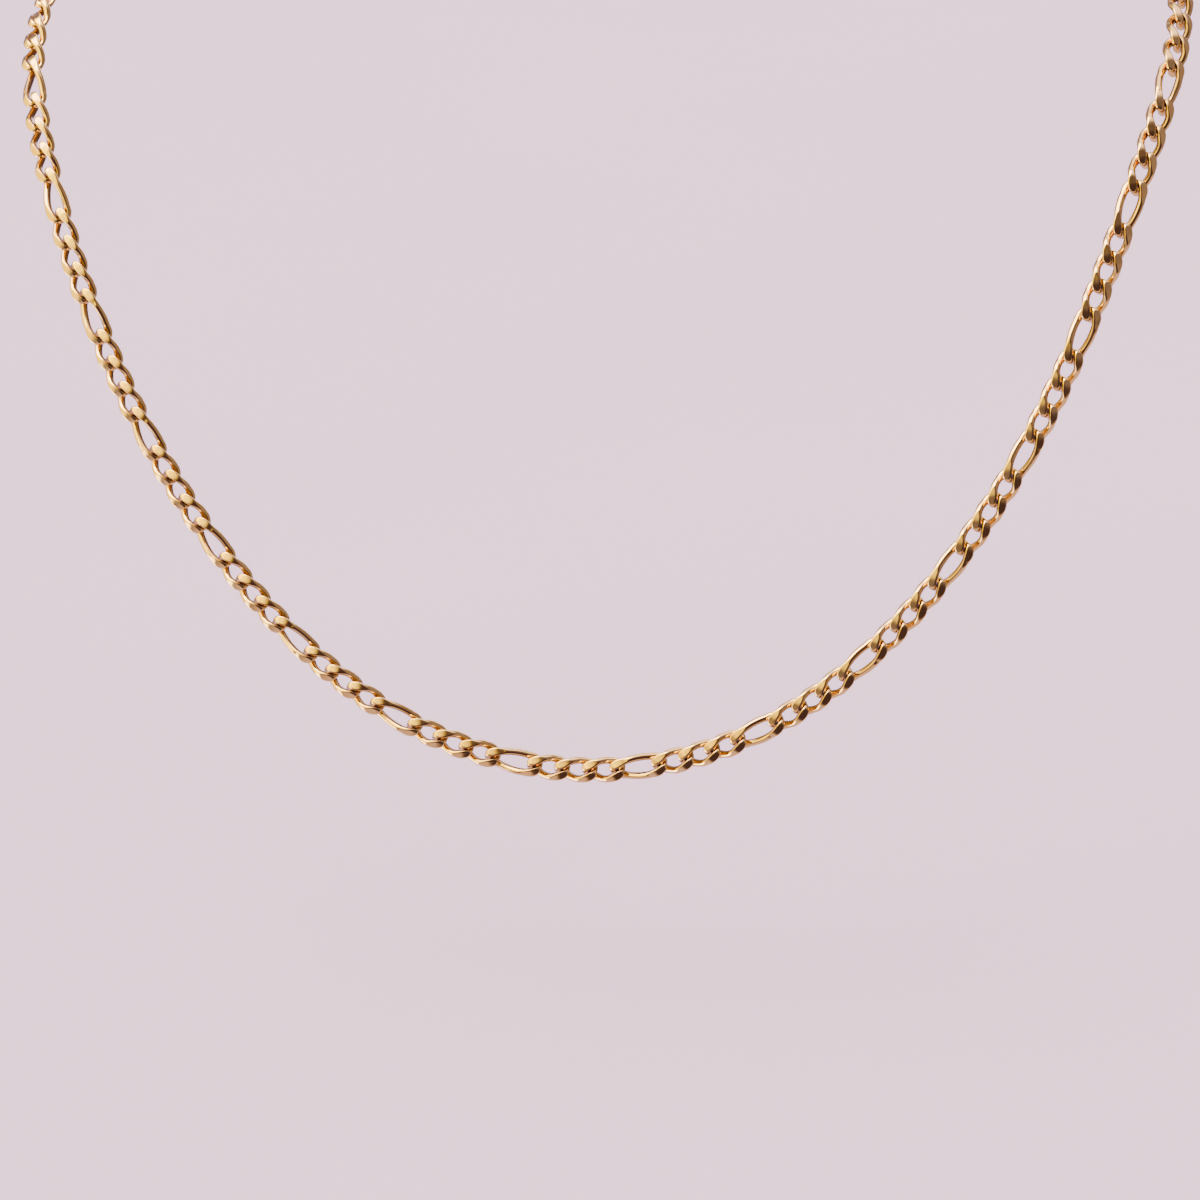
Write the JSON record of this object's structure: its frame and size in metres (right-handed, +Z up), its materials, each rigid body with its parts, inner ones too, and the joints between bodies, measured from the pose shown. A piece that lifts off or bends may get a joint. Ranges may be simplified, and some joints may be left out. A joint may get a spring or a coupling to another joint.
{
  "type": "figaro chain necklace",
  "caption": "Closed loop of yellow gold figaro chain, long and short oval links twisted and filed flat, held in the form it takes when worn round a neck.",
  "frame": {"origin": "the middle of the loop's back, where it rests on the nape, at the clasp", "axes": "+Z up, -Y towards the front of the wearer, X across the loop, with +X at the right of the picture"},
  "size_m": [0.1402, 0.0963, 0.0985],
  "materials": {
    "gold_chain": "polished yellow gold",
    "gold_fittings": "polished yellow gold"
  },
  "bodies": {
    "root": {"chain_left": "gold_chain", "chain_right": "gold_chain", "jump_ring_left": "gold_fittings", "jump_ring_right": "gold_fittings", "clasp": "gold_fittings"}
  },
  "joints": []
}
